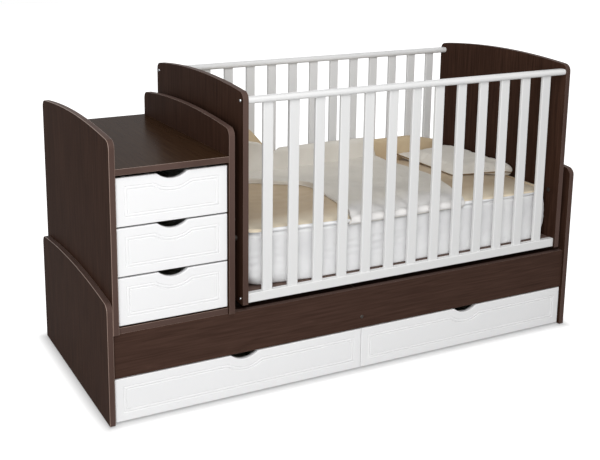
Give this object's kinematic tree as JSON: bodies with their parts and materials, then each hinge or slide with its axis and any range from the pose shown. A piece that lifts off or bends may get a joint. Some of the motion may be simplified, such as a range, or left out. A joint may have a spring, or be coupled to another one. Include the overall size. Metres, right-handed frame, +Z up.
{
  "type": "swinging crib with dresser",
  "caption": "Convertible slatted crib that swings on link arms over a long drawer base, beside a chest of drawers with a changing tray, with bedding.",
  "frame": {"origin": "middle of the whole footprint, on the floor", "axes": "+X along the length from the dresser towards the cot, -Y is the front with the drawer fronts, +Z up"},
  "size_m": [1.706, 0.692, 0.962],
  "materials": {
    "dark_board": "laminated chipboard, dark brown open-grain print, satin",
    "edge_board": "laminated chipboard, brown, satin",
    "raw_wood": "planed softwood, unfinished",
    "glide_plastic": "moulded, matte",
    "screw_metal": "zinc plated",
    "link_metal": "zinc plated",
    "runner_paint": "white epoxy coating, semi-gloss",
    "white_front": "milled fibreboard under smooth white film, semi-matte",
    "drawer_board": "white laminated chipboard, satin",
    "hardboard": "thin hardboard, pale painted side",
    "white_rail": "white lacquered hardwood, satin",
    "mattress_cover": "white quilted cover with corded edge",
    "tan_cotton": "plain woven cotton, matte",
    "cream_cotton": "plain woven cotton, matte"
  },
  "bodies": {
    "frame": {"base_left_panel": "dark_board", "base_right_panel": "dark_board", "base_front_rail": "dark_board", "base_back_board": "dark_board", "base_partition": "dark_board", "deck_left": "dark_board", "deck_right": "dark_board", "deck_cleats": "raw_wood", "floor_glides": "glide_plastic", "rail_screw": "screw_metal", "dresser_left_side": "dark_board", "dresser_right_side": "dark_board", "dresser_top": "dark_board", "dresser_bottom": "dark_board", "dresser_back": "hardboard", "dresser_channels": "runner_paint", "wide_channels": "runner_paint", "frame_pivots": "screw_metal"},
    "drawer_1": {"drawer_1_front": "white_front", "drawer_1_box": "drawer_board", "drawer_1_bottom": "hardboard", "drawer_1_runners": "runner_paint"},
    "drawer_2": {"drawer_2_front": "white_front", "drawer_2_box": "drawer_board", "drawer_2_bottom": "hardboard", "drawer_2_runners": "runner_paint"},
    "drawer_3": {"drawer_3_front": "white_front", "drawer_3_box": "drawer_board", "drawer_3_bottom": "hardboard", "drawer_3_runners": "runner_paint"},
    "wide_drawer_1": {"wide_drawer_1_front": "white_front", "wide_drawer_1_box": "drawer_board", "wide_drawer_1_bottom": "hardboard", "wide_drawer_1_runners": "runner_paint"},
    "wide_drawer_2": {"wide_drawer_2_front": "white_front", "wide_drawer_2_box": "drawer_board", "wide_drawer_2_bottom": "hardboard", "wide_drawer_2_runners": "runner_paint"},
    "body_link_front_left": {"link_front_left": "link_metal"},
    "body_link_front_right": {"link_front_right": "link_metal"},
    "body_link_back_left": {"link_back_left": "link_metal"},
    "body_link_back_right": {"link_back_right": "link_metal"},
    "cot": {"cot_pivots": "screw_metal", "cot_left_end": "dark_board", "cot_right_end": "dark_board", "cot_front_top_rail": "white_rail", "cot_back_top_rail": "white_rail", "cot_front_low_rail": "white_rail", "cot_back_low_rail": "white_rail", "cot_front_slats": "white_rail", "cot_back_slats": "white_rail", "cot_screws": "screw_metal", "mattress_base": "edge_board", "mattress_cleats": "raw_wood", "mattress": "mattress_cover", "fitted_sheet": "tan_cotton", "bumper": "tan_cotton", "duvet": "cream_cotton", "pillow": "cream_cotton"}
  },
  "joints": [
    {"name": "swing", "type": "hinge", "parent": "frame", "child": "body_link_front_left", "pos_m": [-0.44, -0.294, 0.556], "axis": [1, 0, 0], "range_deg": [-30, 30]},
    {"name": "cot_hang", "type": "hinge", "parent": "body_link_front_left", "child": "cot", "pos_m": [-0.44, -0.294, 0.496], "axis": [1, 0, 0], "range_deg": [-30, 30]},
    {"name": "swing_front_right", "type": "hinge", "parent": "frame", "child": "body_link_front_right", "pos_m": [0.823, -0.294, 0.556], "axis": [1, 0, 0], "range_deg": [-30, 30]},
    {"name": "swing_back_left", "type": "hinge", "parent": "frame", "child": "body_link_back_left", "pos_m": [-0.44, 0.294, 0.556], "axis": [1, 0, 0], "range_deg": [-30, 30]},
    {"name": "swing_back_right", "type": "hinge", "parent": "frame", "child": "body_link_back_right", "pos_m": [0.823, 0.294, 0.556], "axis": [1, 0, 0], "range_deg": [-30, 30]},
    {"name": "drawer_1_slide", "type": "slide", "parent": "frame", "child": "drawer_1", "axis": [0, -1, 0], "range_m": [0, 0.4]},
    {"name": "drawer_2_slide", "type": "slide", "parent": "frame", "child": "drawer_2", "axis": [0, -1, 0], "range_m": [0, 0.4]},
    {"name": "drawer_3_slide", "type": "slide", "parent": "frame", "child": "drawer_3", "axis": [0, -1, 0], "range_m": [0, 0.4]},
    {"name": "wide_drawer_1_slide", "type": "slide", "parent": "frame", "child": "wide_drawer_1", "axis": [0, -1, 0], "range_m": [0, 0.45]},
    {"name": "wide_drawer_2_slide", "type": "slide", "parent": "frame", "child": "wide_drawer_2", "axis": [0, -1, 0], "range_m": [0, 0.45]}
  ],
  "couplings": [
    {"joint": "cot_hang", "follows": "swing", "ratio": -1},
    {"joint": "swing_front_right", "follows": "swing", "ratio": 1},
    {"joint": "swing_back_left", "follows": "swing", "ratio": 1},
    {"joint": "swing_back_right", "follows": "swing", "ratio": 1}
  ]
}
